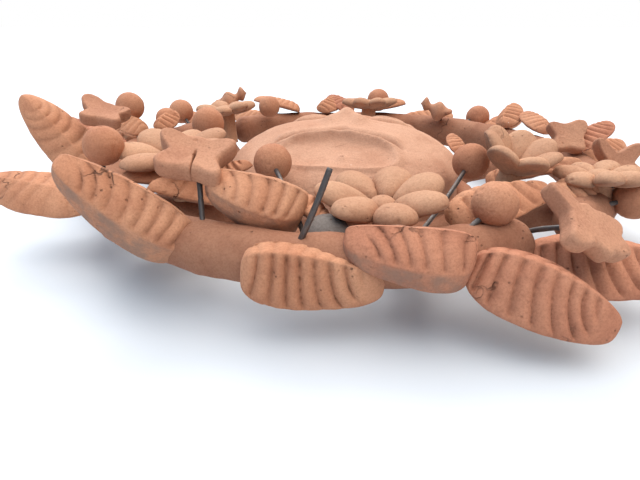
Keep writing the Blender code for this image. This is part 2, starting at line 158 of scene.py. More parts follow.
def turned(axes, yaw=0.0, pitch=0.0, roll=0.0):
    """The three axes turned about their own third, second and first axis, in degrees."""
    long_way, wide_way, thin_way = axes
    for angle, pair in ((yaw, "lw"), (-pitch, "tl"), (roll, "wt")):
        c, s = math.cos(math.radians(angle)), math.sin(math.radians(angle))
        if pair == "lw":
            long_way, wide_way = c * long_way + s * wide_way, c * wide_way - s * long_way
        elif pair == "tl":
            thin_way, long_way = c * thin_way + s * long_way, c * long_way - s * thin_way
        else:
            wide_way, thin_way = c * wide_way + s * thin_way, c * thin_way - s * wide_way
    return long_way, wide_way, thin_way


class Lie:
    """Where a piece lies: its root, its long, wide and thin directions and its size along each."""

    def __init__(self, root, axes, size):
        self.root = np.asarray(root, float)
        self.axes = axes
        self.size = size

    def place(self, x, y, z):
        """World points of the piece's own x, y and z."""
        long_way, wide_way, thin_way = self.axes
        return (self.root + x[..., None] * long_way + y[..., None] * wide_way
                + z[..., None] * thin_way)


def leaf_lie(node, trim=(0.0, 0.0, 0.0)):
    """A leaf's lie: its tip is the end further from the middle, its ribbed face the side further out."""
    middle, long_way, wide_way, thin_way, points = spread(node)
    away = points - middle
    if (away @ long_way).max() < -(away @ long_way).min():
        long_way = -long_way
    if (away @ thin_way).max() < -(away @ thin_way).min():
        thin_way = -thin_way
    long_way, wide_way, thin_way = turned((long_way, np.cross(thin_way, long_way), thin_way), *trim)
    along, across, rise = away @ long_way, away @ wide_way, away @ thin_way
    length = np.ptp(along) + LEAF_BURIED
    root = (middle + long_way * (along.max() - length * (1 + SHRINK) / 2)
            + wide_way * (across.max() + across.min()) / 2 + thin_way * rise.min())
    return Lie(root, (long_way, wide_way, thin_way),
               (length * SHRINK, np.ptp(across) * SHRINK, np.ptp(rise) * SHRINK))


def flower_lie(node):
    """A flower's lie: the circle through its petals' ends, in the plane that fits them best."""
    points = np.unique(np.round(triangles(node).reshape(-1, 3), 6), axis=0)
    low, high = points.min(0), points.max(0)
    upper = points[points[:, 2] > low[2] + 0.5 * (high[2] - low[2])]
    centre, up = (low + high) / 2, UP
    for _ in range(3):
        reach = np.linalg.norm(np.cross(upper - centre, up), axis=1)
        ends = upper[reach > 0.86 * reach.max()]
        middle = ends.mean(0)
        up = np.linalg.svd(ends - middle)[2][2]
        up = up * np.sign(up[2])
        side = unit(np.cross(up, [0.0, 1.0, 0.0]))
        front = np.cross(up, side)
        flat = np.stack([(ends - middle) @ side, (ends - middle) @ front], 1)
        system = np.column_stack([2 * flat, np.ones(len(flat))])
        found = np.linalg.lstsq(system, (flat ** 2).sum(1), rcond=None)[0]
        centre = middle + found[0] * side + found[1] * front
    radius = math.sqrt(found[2] + found[0] ** 2 + found[1] ** 2)
    away = ends - centre
    first = away[np.linalg.norm(away, axis=1).argmax()]
    long_way = unit(first - up * (first @ up))
    return Lie(centre, (long_way, np.cross(up, long_way), up), (radius, radius, high[2] - low[2]))


def slab_lie(node, trim=(0.0, 0.0, 0.0)):
    """A butterfly's lie: its middle, its thin way up, and its wings to the right before the trim."""
    middle, long_way, wide_way, thin_way, points = spread(node)
    away = points - middle
    centre = middle
    for way in (long_way, wide_way, thin_way):
        reach = away @ way
        centre = centre + way * (reach.max() + reach.min()) / 2
    thin_way = thin_way * np.sign(thin_way[2])
    right = np.array([1.0, 0.0, 0.0])
    long_way = unit(right - thin_way * (right @ thin_way))
    return Lie(centre, turned((long_way, np.cross(thin_way, long_way), thin_way), *trim), None)


def rod_ends(node):
    """The two end middles and the radius of a straight wire or branch, inner end first."""
    middle, long_way, _, _, points = spread(node)
    away = points - middle
    along = away @ long_way
    radius = np.median(np.linalg.norm(away - along[:, None] * long_way, axis=1))
    ends = sorted((middle + long_way * reach for reach in (along.min(), along.max())),
                  key=lambda end: math.hypot(end[0], end[1]))
    return ends[0], ends[1], radius


def coil_measures(node):
    """Start and end bearing, centre-line radius, height and tube radius of a coil."""
    points = triangles(node).reshape(-1, 3)
    reach = np.hypot(points[:, 0], points[:, 1])
    tube = (points[:, 2].max() - points[:, 2].min()) / 2
    bearing = np.sort(np.unique(np.round(np.degrees(np.arctan2(points[:, 1], points[:, 0])) % 360, 2)))
    gaps = np.diff(np.append(bearing, bearing[0] + 360))
    start = bearing[(gaps.argmax() + 1) % len(bearing)]
    end = start + 360 - gaps.max()
    return start, end, (reach.max() + reach.min()) / 2, points[:, 2].min() + tube, tube


def polar(bearing, radius, height):
    """Point at a bearing in degrees, a radius from the plaque's axis and a height."""
    turn = np.radians(bearing)
    return np.stack(np.broadcast_arrays(radius * np.cos(turn), radius * np.sin(turn), height), -1)


def laid(origin, heading, pitch, roll, size):
    """Lie with its long way along a heading and a pitch, rolled about it, in degrees."""
    axes = turned((np.array([1.0, 0, 0]), np.array([0, 1.0, 0]), UP), heading, pitch, roll)
    return Lie(origin, axes, size)


# ---------------------------------------------------------------- grids and their relief

def ease(low, high, value):
    """Rises smoothly from 0 at low to 1 at high, as 3t^2 - 2t^3."""
    share = np.clip((value - low) / (high - low), 0, 1)
    return share * share * (3 - 2 * share)


def bell(value, middle, half):
    """Bell curve of height one at its middle, exp(-t^2)."""
    return np.exp(-((value - middle) / half) ** 2)


def chance(cell, seed):
    """Repeatable value from 0 to 1 for each whole-number place, from its mixed bits."""
    x, y, z = (cell[..., axis].astype(np.int64) for axis in range(3))
    mixed = (x * 73856093) ^ (y * 19349663) ^ (z * 83492791) ^ (seed * 40503 + 977)
    mixed = ((mixed ^ (mixed >> 13)) * 1274126177) & 0xFFFFFFFF
    mixed ^= mixed >> 16
    mixed = (mixed * 668265263) & 0xFFFFFFFF
    return ((mixed >> 8) & 0xFFFF) / 65535.0


def wander(points, size, seed):
    """Smooth noise from -1 to 1: lattice values a size apart, blended by 3t^2 - 2t^3 along each axis."""
    scaled = points / size + 500.0
    cell = np.floor(scaled)
    share = scaled - cell
    share = share * share * (3 - 2 * share)
    total = 0.0
    for corner in itertools.product((0, 1), repeat=3):
        weight = 1.0
        for axis, step in enumerate(corner):
            weight = weight * (share[..., axis] if step else 1 - share[..., axis])
        total = total + weight * chance(cell + np.array(corner), seed)
    return 2 * total - 1


def steps(rows, loop=False):
    """Change of a grid's points along its rows and round its rings."""
    if loop:
        along = np.roll(rows, -1, 0) - np.roll(rows, 1, 0)
    else:
        along = np.gradient(rows, axis=0)
    return along, np.roll(rows, -1, 1) - np.roll(rows, 1, 1)


def outward(rows, loop=False):
    """Unit normals of a grid, the step round its rings crossed with the step along its rows."""
    along, around = steps(rows, loop)
    normal = np.cross(around, along)
    length = np.linalg.norm(normal, axis=-1, keepdims=True)
    return normal / np.maximum(length, 1e-12)


def hand_worked(rows, seed, lump=0.00034, dent=0.00017, grain=0.00004, loop=False, mask=1.0):
    """Clay relief along the normals: lumps 9 mm wide, dents 3 mm wide, grain 0.9 mm wide, and pits.

    Each is its height times smooth noise; the pits are where a noise 1.6 mm wide passes 0.62.
    """
    relief = lump * wander(rows, 0.009, seed) + dent * wander(rows, 0.0031, seed + 1)
    relief += grain * wander(rows, 0.0009, seed + 2)
    pits = np.clip(wander(rows, 0.0016, seed + 3) - 0.62, 0, 1)
    relief -= 0.0011 * pits * (0.4 + 0.6 * (wander(rows, 0.011, seed + 4) > 0))
    return rows + outward(rows, loop) * (relief * mask)[..., None]


def crack(rows, path, width, depth, seed):
    """Narrow wandering split: each point sinks by depth exp(-(d/width)^2), d from a path of points."""
    strayed = rows + 0.0004 * np.stack([wander(rows, 0.0022, seed + axis) for axis in range(3)], -1)
    nearest = np.full(rows.shape[:2], 1.0)
    for start, end in zip(path[:-1], path[1:]):
        run = end - start
        share = np.clip((strayed - start) @ run / (run @ run), 0, 1)
        nearest = np.minimum(nearest, np.linalg.norm(strayed - start - share[..., None] * run, axis=-1))
    depth = depth * np.exp(-(nearest / width) ** 2)
    return rows - outward(rows) * depth[..., None], depth > depth.max() * 0.35


def skin(name, rows, marks=None, loop=False):
    """Closed mesh over a ring grid: quads between rings, and a fan to a middle point at each end."""
    count, around = rows.shape[:2]
    index = np.arange(count * around).reshape(count, around)
    nearer, further = (index, np.roll(index, -1, 0)) if loop else (index[:-1], index[1:])
    quads = np.stack([nearer, np.roll(nearer, -1, 1), np.roll(further, -1, 1), further], -1).reshape(-1, 4)
    points = rows.reshape(-1, 3)
    fans = np.empty((0, 3), int)
    if not loop:
        points = np.vstack([points, rows[0].mean(0), rows[-1].mean(0)])
        first, last = index[0], index[-1]
        fans = np.vstack([np.stack([np.full(around, len(points) - 2), np.roll(first, -1), first], -1),
                          np.stack([np.full(around, len(points) - 1), last, np.roll(last, -1)], -1)])
    mesh = bpy.data.meshes.new(name)
    mesh.vertices.add(len(points))
    mesh.vertices.foreach_set("co", points.astype(np.float32).ravel())
    corners = np.concatenate([quads.ravel(), fans.ravel()]).astype(np.int32)
    starts = np.concatenate([np.arange(len(quads)) * 4, quads.size + np.arange(len(fans)) * 3])
    mesh.loops.add(len(corners))
    mesh.loops.foreach_set("vertex_index", corners)
    mesh.polygons.add(len(starts))
    mesh.polygons.foreach_set("loop_start", starts.astype(np.int32))
    mesh.update(calc_edges=True)
    mesh.shade_smooth()
    for mark, values in (marks or {}).items():
        values = np.broadcast_to(values, rows.shape[:2]).astype(np.float32)
        flat = values.ravel()
        if not loop:
            flat = np.append(flat, [values[0].mean(), values[-1].mean()])
        mesh.attributes.new(mark, "FLOAT", "POINT").data.foreach_set("value", flat.astype(np.float32))
    item = bpy.data.objects.new(name, mesh)
    bpy.context.scene.collection.objects.link(item)
    return item


def keep(item, material, slot, *nodes):
    """Give a finished piece its material and its body, and hide the solids that it stands for; slot is not
    used.
    """
    item.data.materials.append(material)
    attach(item, BODY)
    if nodes:
        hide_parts(*nodes)
    return item


def ring_grid(count, around, ends=0.5):
    """Shares along from 0 to 1, closer at both ends as (1 - cos) / 2, and angles round a ring."""
    share = (np.arange(count) + ends) / (count - 1 + 2 * ends)
    along = (1 - np.cos(np.pi * share)) / 2
    return np.meshgrid(along, 2 * np.pi * np.arange(around) / around, indexing="ij")


# ---------------------------------------------------------------- clay pieces

def leaf(name, lie, seed, ribs=9, depth=RIB_DEPTH, crest=0.12, far=0.55, base=0.42, tip=0.52,
         rims=(0.42, 0.42), thicker=1.0, split=None, scraped_and_shaded=0.0, scallop=0.05):
    """Pressed leaf with a flat back and a ribbed face.

    Half width along u: u^base (1-u)^tip (1.12 - 0.42u), scaled to the width. Section across c: an edge factor
    (1 - c^8)^0.5 times a roof that falls from its crest as 1 - (1 - rim) v^1.5, to a rim of its own on each
    side. Grooves follow even steps of (u + 0.06 v^2) / (1 + 0.36 v^2), where v is the distance from the
    crest, and each is 1 - |sin|^0.55 deep; their colour is darkened as painted shade. far is their share
    beyond the crest. The clay beyond the crest is greyed by a share that stands for rubbing and for painted
    shade on a flat side in shade. thicker multiplies the thickness, and scallop is how far a groove notches
    the rim. split is a crack across the face, from one pair of shares along and across to another, and it is
    painted darker as shade.
    """
    length, width, thick = lie.size
    thick = thick * thicker
    u, turn = ring_grid(LEAF_ROWS, LEAF_ROUND)
    c, s = np.cos(turn), np.sin(turn)
    outline = u ** base * (1 - u) ** tip * (1.12 - 0.42 * u)
    outline /= outline.max()
    height = (4 * u * (1 - u)) ** 0.30 * (1.08 - 0.25 * u)
    height /= height.max()
    v = np.abs(c - crest) / np.where(c > crest, 1 - crest, 1 + crest)
    edge = np.sqrt(1 - np.abs(c) ** 8)
    rim = np.where(c > crest, rims[1], rims[0])
    waist = 0.24 * thick * height
    roof = np.maximum(thick * height * (rim + (1 - rim) * (1 - v ** 1.5)), waist)
    step = (u + 0.06 * v ** 2) / (1 + 0.36 * v ** 2)
    phase = ribs * step + 0.14 * np.sin(9 * step + seed) + 0.06 * np.sin(5 * v + seed)
    ridge = np.abs(np.sin(np.pi * phase)) ** 0.55
    uneven = 0.75 + 0.5 * chance(np.stack([np.floor(phase), np.sign(c - crest), 0 * u], -1), seed)
    mask = ease(-0.04, 0.10, v) * (1 - 0.5 * ease(0.86, 1.0, v)) * ease(0.03, 0.09, step)
    mask = mask * (1 - ease(0.74, 0.88, u)) * np.where(c > crest, far, 1.0) * (s > 0)
    groove = (1 - ridge) * mask * uneven
    face_side = waist + (roof - waist) * edge - depth * groove * edge
    back_side = waist * (1 - edge)
    x = length * u
    y = width / 2 * outline * c * (1 - scallop * groove * np.abs(c) ** 3)
    z = np.where(s > 0, face_side, back_side)
    rows = lie.place(x, y, z)
    rows = hand_worked(rows, seed, mask=1 - 0.4 * (s > 0))
    # Painted shade: the grooves, and the split below, are marked to be painted darker.
    dark = np.clip(groove, 0, 1)
    if split is not None:
        first, last = np.array(split)
        along, across = (first + (last - first) * np.linspace(0, 1, 4)[:, None]).T
        path = lie.place(length * along, width / 2 * across, 0 * along)
        rows, opened = crack(rows, path, SPLIT_WIDTH, SPLIT_DEPTH, seed)
        dark = np.maximum(dark, opened)
    # Rubbing and painted shade: the flat side beyond the crest is greyed by this share.
    rubbed_and_shaded = scraped_and_shaded * ease(crest, crest + 0.15, c) * (s > 0)
    return skin(name, rows, {"groove": dark, "back": np.maximum((s < 0) * edge, rubbed_and_shaded)})


def petal(name, root, out_way, up, length, width, thick, seed):
    """Domed petal: half width of an ellipse that widens outward, an elliptic face and a flatter back.

    Its end rises as u^1.4. Its seam with its neighbours and its root are marked as groove, painted darker as
    shade between the petals.
    """
    u, turn = ring_grid(PETAL_ROWS, PETAL_ROUND)
    c, s = np.cos(turn), np.sin(turn)
    outline = np.sqrt(1 - (2 * u - 1) ** 2) * (0.60 + 0.50 * ease(0.0, 0.7, u))
    outline /= outline.max()
    dome = (4 * u * (1 - u)) ** 0.42
    side = unit(np.cross(up, out_way))
    x = length * u
    y = width / 2 * outline * c
    z = thick * dome * np.where(s > 0, 0.72 * np.abs(s) ** 0.9, -0.28 * np.abs(s) ** 0.8)
    z = z + PETAL_LIFT * length * u ** 1.4
    rows = root + x[..., None] * out_way + y[..., None] * side + z[..., None] * up
    rows = hand_worked(rows, seed, lump=0.0002, dent=0.0001)
    seam = np.maximum(0.85 * bell(s, 0, 0.22), 0.9 * (1 - ease(0.05, 0.22, u)))
    return skin(name, rows, {"groove": seam, "back": (s < 0) * 0.6})


def flower(node, lie, seed, cup=10.0, grow=1.0, sink=0.0, level=0.0, wide=0.60, thick=PETAL_THICK,
           shift=(0.0, 0.0), foot=0.016):
    """Seven petals round a low boss, each with its own small turn, length and tilt.

    cup tips the petals up in degrees, grow lengthens them, and wide is their width over the radius. sink
    lowers and shift moves the middle, and level turns the flower's axis that share of the way to upright.
    A stem runs down from the boss by foot.
    """
    chances = np.random.default_rng(seed)
    long_way, wide_way, up = lie.axes
    up = unit(up + level * (UP - up))
    wide_way = unit(np.cross(up, long_way))
    long_way = np.cross(wide_way, up)
    radius = lie.size[0] * grow
    middle = lie.root - sink * up + np.array([*shift, 0.0])
    items = []
    for index in range(PETALS):
        turn = 2 * np.pi * index / PETALS + chances.normal(0, 0.035)
        out_way = math.cos(turn) * long_way + math.sin(turn) * wide_way
        reach = radius * chances.uniform(0.95, 1.0)
        start = PETAL_START * radius
        lean = math.radians(cup + chances.normal(0, 3.5))
        outer = math.cos(lean) * out_way + math.sin(lean) * up
        above = math.cos(lean) * up - math.sin(lean) * out_way
        root = middle + out_way * start - above * (0.0018 - 0.0006 * (index % 2))
        items.append(petal(f"{node}_petal_{index + 1}", root, outer, above, reach - start,
                           wide * radius * chances.uniform(0.95, 1.06), thick, seed + 10 * index))
    share = np.linspace(0, 1, 24)[:, None]
    path = middle - lie.axes[2] * (0.001 + foot * share)
    items.append(tube(f"{node}_stem", path, BOSS_RADIUS * (0.95 + 0.12 * share[:, 0]), STEM_ROUND, seed + 7))
    items.append(ball(f"{node}_boss", middle + up * 0.0002, BOSS_RADIUS, seed + 90, up, flat=0.62))
    return items


def ball(name, centre, radius, seed, pole=UP, flat=1.0):
    """Rolled clay ball: a sphere about a pole, flattened along it."""
    share, turn = ring_grid(BALL_ROWS, BALL_ROUND)
    angle = np.arccos(1 - 2 * share)
    side = unit(np.cross(pole, [0.3, 0.9, 0.31]))
    front = np.cross(pole, side)
    reach = radius * SHRINK
    across = reach * np.sin(angle)
    rows = (centre + (across * np.cos(turn))[..., None] * side - (across * np.sin(turn))[..., None] * front
            + (flat * reach * np.cos(angle))[..., None] * pole)
    rows = hand_worked(rows, seed, lump=0.00014, dent=0.00006, grain=0.00003)
    return skin(name, rows, {"groove": 0.7 * (angle < 0.13), "back": 0 * turn})


def tube(name, path, radii, around, seed, dark=0.0, loop=False, clay=True):
    """Round section carried along a path, on a side way that is kept level from point to point."""
    path = np.asarray(path, float)
    along = np.roll(path, -1, 0) - np.roll(path, 1, 0) if loop else np.gradient(path, axis=0)
    along = unit(along)
    level = np.where(np.abs(along[:, 2:3]) > 0.9, [[1.0, 0, 0]], [[0, 0, 1.0]])
    side = unit(np.cross(level, along))
    front = np.cross(along, side)
    turn = 2 * np.pi * np.arange(around) / around
    rows = (path[:, None] + np.asarray(radii)[:, None, None]
            * (np.cos(turn)[None, :, None] * side[:, None] + np.sin(turn)[None, :, None] * front[:, None]))
    if clay:
        rows = hand_worked(rows, seed, lump=0.0005, dent=0.00016, loop=loop)
    return skin(name, rows, {"groove": dark, "back": 0.0}, loop)


def rolled_coil(name, measures, seed):
    """Rolled clay coil on an arc. It narrows at each end as (1 - (1 - t)^2.6)^0.5, and swells a little."""
    start, end, radius, height, tube_radius = measures
    count = int((end - start) * COIL_ROWS_A_DEGREE)
    share = np.linspace(0, 1, count)
    bearing = start + (end - start) * share
    run = np.minimum(bearing - start, end - bearing) * math.pi / 180 * radius
    cap = np.sqrt(np.clip(1 - (1 - np.clip(run / tube_radius, 0, 1)) ** 2.6, 0.02, 1))
    swell = 1 + 0.035 * np.sin(bearing / 11 + seed) + 0.02 * np.sin(bearing / 4.3)
    path = polar(bearing, radius + 0.0006 * np.sin(bearing / 17 + seed), height)
    return tube(name, path, tube_radius * COIL_SHRINK * swell * cap, COIL_ROUND, seed)


def collar(node, seed):
    """Closed coil round the face's edge, whose radius wavers five times in a turn."""
    _, _, radius, height, tube_radius = coil_measures(node)
    bearing = np.linspace(0, 360, COLLAR_ROWS, endpoint=False)
    path = polar(bearing, radius + 0.0002 * np.sin(np.radians(bearing * 5)), height)
    return tube(node, path, np.full(COLLAR_ROWS, tube_radius * COLLAR_SHRINK), COLLAR_ROUND, seed, loop=True)


def branch(node, seed):
    """Wavy clay branch from the collar to the ring, its side step sin(2 pi share)."""
    inner, outer, radius = rod_ends(node)
    share = np.linspace(0, 1, BRANCH_ROWS)
    side = unit(np.cross(UP, outer - inner))
    wave = BRANCH_WAVE * np.sin(2 * np.pi * share)
    path = inner + (outer - inner) * share[:, None] + wave[:, None] * side
    return tube(node, path, np.full(BRANCH_ROWS, radius), BRANCH_ROUND, seed)


def wire(name, start, end, radius, seed, bow=0.0008):
    """Cut wire: a round section along a line that bows sideways by sin(pi share), with a cut end painted
    bright: bare metal with a painted glint.
    """
    share = np.linspace(0, 1, WIRE_ROWS)
    side = unit(np.cross(end - start, UP))
    side = side * math.cos(seed) + np.cross(unit(end - start), side) * math.sin(seed)
    path = start + (end - start) * share[:, None] + (bow * np.sin(np.pi * share))[:, None] * side
    radii = radius * (1 + 0.03 * np.sin(share * 23 + seed))
    radii[0] = radii[-1] = radius * 0.86
    # The last two rings are painted bright: the cut end's bare metal and a painted glint.
    cut_end_and_glint = np.zeros((WIRE_ROWS, WIRE_ROUND))
    cut_end_and_glint[-2:] = 1
    return tube(name, path, radii, WIRE_ROUND, seed, cut_end_and_glint, clay=False)


def lobed(turn, lobes, waist):
    """Outline radius of a cut slab: a waist plus a bell for each lobe, joined as (sum of b^4)^(1/4)."""
    total = 0.0
    for bearing, length, half in lobes:
        away = (turn - math.radians(bearing) + np.pi) % (2 * np.pi) - np.pi
        total = total + ((length - waist) * bell(away, 0, math.radians(half))) ** 4
    return waist + total ** 0.25


def slab(name, lie, lobes, waist, seed, thick=SLAB_THICK, slit=None, ragged=0.0, cup=0.0):
    """Slab with a lobed outline, flat faces and edges rounded by quarter circles.

    Each ring is the outline drawn in by an inset, at a height: flat face, rounded edge, wall, rounded
    edge, flat back. cup lifts the outline by the square of its reach, and ragged wavers it by noise.
    slit is a groove along y at x = 0: its two ends and its half width.
    """
    round_edge = 0.28 * thick
    drawn_in = np.full(SLAB_FLAT_ROWS, round_edge)
    flat = np.full(SLAB_FLAT_ROWS, thick / 2)
    middle_out = np.linspace(0.02, 0.97, SLAB_FLAT_ROWS)
    quarter = np.linspace(0, np.pi / 2, SLAB_EDGE_ROWS)
    near, off = round_edge * (1 - np.sin(quarter)), round_edge * (1 - np.cos(quarter))
    share = np.concatenate([middle_out, np.ones(2 * SLAB_EDGE_ROWS), middle_out[::-1]])[::-1]
    inset = np.concatenate([drawn_in, near, off, drawn_in])[::-1]
    level = np.concatenate([flat, thick / 2 - off, -thick / 2 + near, -flat])[::-1]
    turn = 2 * np.pi * np.arange(SLAB_ROUND) / SLAB_ROUND
    circle = np.stack([np.cos(turn), np.sin(turn), 0 * turn], -1)
    outline = lobed(turn, lobes, waist) * (1 + ragged * wander(circle, 0.23, seed))
    reach = (outline[None] - inset[:, None]) * share[:, None]
    x, y = reach * np.cos(turn), reach * np.sin(turn)
    z = level[:, None] + cup * reach ** 2
    cut = 0 * z
    if slit is not None:
        low, high, half = slit
        # Painted shade: the slit is marked to be painted darker inside.
        cut = bell(x, 0, half) * ease(low - 0.0008, low, y) * (1 - ease(high - 0.003, high, y))
        z = z - SLIT_DEPTH * cut * (level[:, None] > -0.0005)
    rows = hand_worked(lie.place(x, y, z), seed, lump=0.00032, dent=0.00014)
    return skin(name, rows, {"groove": cut, "back": (level[:, None] < -thick * 0.4) * 0.6 + 0 * z})


def bird(name, lie, seed):
    """Small pinched bird: round sections along its length, whose radius sums a tail, a body and a head."""
    length = lie.size[0]
    u, turn = ring_grid(64, 48)
    radius = 0.16 * bell(u, 0.05, 0.16) + 0.30 * bell(u, 0.42, 0.24) + 0.20 * bell(u, 0.84, 0.11)
    radius = radius * np.sqrt(np.clip(1 - np.abs(2 * u - 1) ** 7, 0, 1)) * length
    flat = 0.45 + 0.55 * ease(0.1, 0.35, u)
    rise = length * (0.17 * ease(0.5, 0.85, u) + 0.05 * (1 - ease(0.0, 0.3, u)))
    rows = lie.place(length * (u - 0.42), radius * np.cos(turn), radius * flat * np.sin(turn) + rise)
    rows = hand_worked(rows, seed, lump=0.0002)
    return skin(name, rows, {"groove": 0 * u, "back": 0 * u})


# ---------------------------------------------------------------- the face

def mouth_crease(side):
    """Front of the line between the lips: line - 0.0045 (side / half)^2, with a small rise in the middle."""
    return MOUTH_LINE - 0.0045 * (side / MOUTH_HALF) ** 2 + 0.0022 * bell(side, 0.001, 0.004)


def features(side, front):
    """Height of the calm, closed-eyed face over its dome, in the face's own x to the right and y to the brow.

    Mouth: a narrow crease, a raised lip on each side of it, and a shallow bowl below. Nose, brows and
    cheeks are bells, an eyelid is (1 - share)^0.6 of an ellipse, and its lash line is a narrow crease.
    """
    crease = mouth_crease(side)
    within = 1 - ease(0.82, 1.04, np.abs(side) / MOUTH_HALF)
    below = crease - front
    height = -0.0024 * bell(below, 0, 0.0009) * within
    height = height + 0.0015 * bell(below, 0.0024, 0.0016) * within
    height = height + 0.0016 * bell(below, -0.0036, 0.0030) * within
    bowl = ((side - 0.0005) / 0.0235) ** 2 + ((front - MOUTH_LINE + 0.0125) / 0.0105) ** 2
    height = height - 0.0026 * np.clip(1 - bowl, 0, 1) ** 0.55
    height = height + 0.0008 * bell(bowl, 1.12, 0.16) * (below > 0)
    nub = np.hypot(side - NUB[0], front - NUB[1])
    height = height + 0.0012 * bell(nub, 0, 0.0016) - 0.0014 * bell(nub, 0, 0.0006)
    height = height + 0.0034 * bell(side, 0, 0.0085) * bell(front, 0.0035, 0.0080)
    wings = bell(side, 0.0066, 0.0034) + bell(side, -0.0066, 0.0034)
    height = height + 0.0016 * wings * bell(front, -0.0005, 0.0045)
    bridge = ease(-0.002, 0.010, front) * (1 - ease(0.018, 0.030, front))
    height = height + 0.0030 * bell(side, 0, 0.0042) * bridge
    for way in (-1, 1):
        across, eye_front = (side * way - EYE[0]) / EYE_HALF[0], front - EYE[1]
        lid = across ** 2 + (eye_front / EYE_HALF[1]) ** 2
        height = height - 0.0009 * bell(lid, 1.35, 0.55)
        height = height + 0.0024 * np.clip(1 - lid, 0, 1) ** 0.6
        lash = eye_front + 0.0026 - 0.0034 * across ** 2
        height = height - 0.0007 * bell(lash, 0, 0.00055) * (1 - ease(0.9, 1.15, np.abs(across)))
        across = (side * way - BROW[0]) / BROW_HALF
        brow = front - BROW[1] + 0.0042 * across ** 2
        height = height + 0.0015 * bell(brow, 0, 0.0017) * (1 - ease(0.8, 1.15, np.abs(across)))
        height = height + 0.0016 * bell(side * way, 0.027, 0.012) * bell(front, -0.004, 0.010)
    return height


def face(node):
    """Face: a dome rise (1 - share^2.3)^0.62 with its features, a side wall, a flat back rim and a hollow.

    The rings run from the middle of the front, over the edge and rim, to the middle of the hollow.
    """
    low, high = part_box(node)
    radius = (high.x - low.x) / 2
    centre = np.array([(low.x + high.x) / 2, (low.y + high.y) / 2, 0.0])
    corners = triangles(node).reshape(-1, 3)
    edge = corners[np.hypot(corners[:, 0], corners[:, 1]) > radius * 0.985]
    wall = edge[:, 2].max() - 0.004

    def dome(share, springing, height):
        return springing + height * (1 - np.clip(share, 0, 1) ** 2.3) ** 0.62

    outer = np.sin(np.linspace(0.004, 1, 178) * np.pi / 2)
    down = np.linspace(0.97, 0.0, 34)
    inner = np.sin(np.linspace(1, 0.02, 46) * np.pi / 2)
    hollow = radius - FACE_WALL
    reach = np.concatenate([outer * radius, np.full(34, radius), [radius - 0.0006, radius - 0.0012],
                            [hollow + 0.0012, hollow + 0.0006], np.full(12, hollow), inner * hollow])
    level = np.concatenate([dome(outer, wall, DOME_RISE), down * (wall - 0.0008) + 0.0008, [0.0002, 0.0],
                            [0.0, 0.0002], np.linspace(0.0008, wall - 0.007, 12),
                            dome(inner, wall - FACE_WALL, DOME_RISE)])
    turn = 2 * np.pi * np.arange(FACE_ROUND) / FACE_ROUND
    x, y = reach[:, None] * np.cos(turn), reach[:, None] * np.sin(turn)
    side = x * math.cos(FACE_TURN) + y * math.sin(FACE_TURN)
    front = y * math.cos(FACE_TURN) - x * math.sin(FACE_TURN)
    shown = (np.arange(len(reach)) < len(outer))[:, None] * (1 - ease(0.86, 0.99, reach / radius))[:, None]
    z = level[:, None] + shown * features(side, front)
    rows = (np.stack([x, y, z], -1) + centre)[::-1]
    outside = ((np.arange(len(reach)) < len(outer) + len(down) - 2) * 1.0)[::-1, None] + 0 * z
    rows = hand_worked(rows, 5, lump=0.00035, dent=0.00010, grain=0.00003, mask=0.15 + 0.85 * outside)
    rows[..., 2] = np.maximum(rows[..., 2], 0.0)
    # Painted shade: the crease between the lips and the small dip in the chin's dot are painted darker.
    lips = bell(mouth_crease(side) - front, 0, 0.0008) * (1 - ease(0.85, 1.0, np.abs(side) / MOUTH_HALF))
    dot = 0.9 * bell(np.hypot(side - NUB[0], front - NUB[1]), 0, 0.0007)
    dark = (np.maximum(lips, dot) * shown)[::-1]
    return skin(node, rows, {"groove": dark, "back": 1 - outside})


# ---------------------------------------------------------------- materials

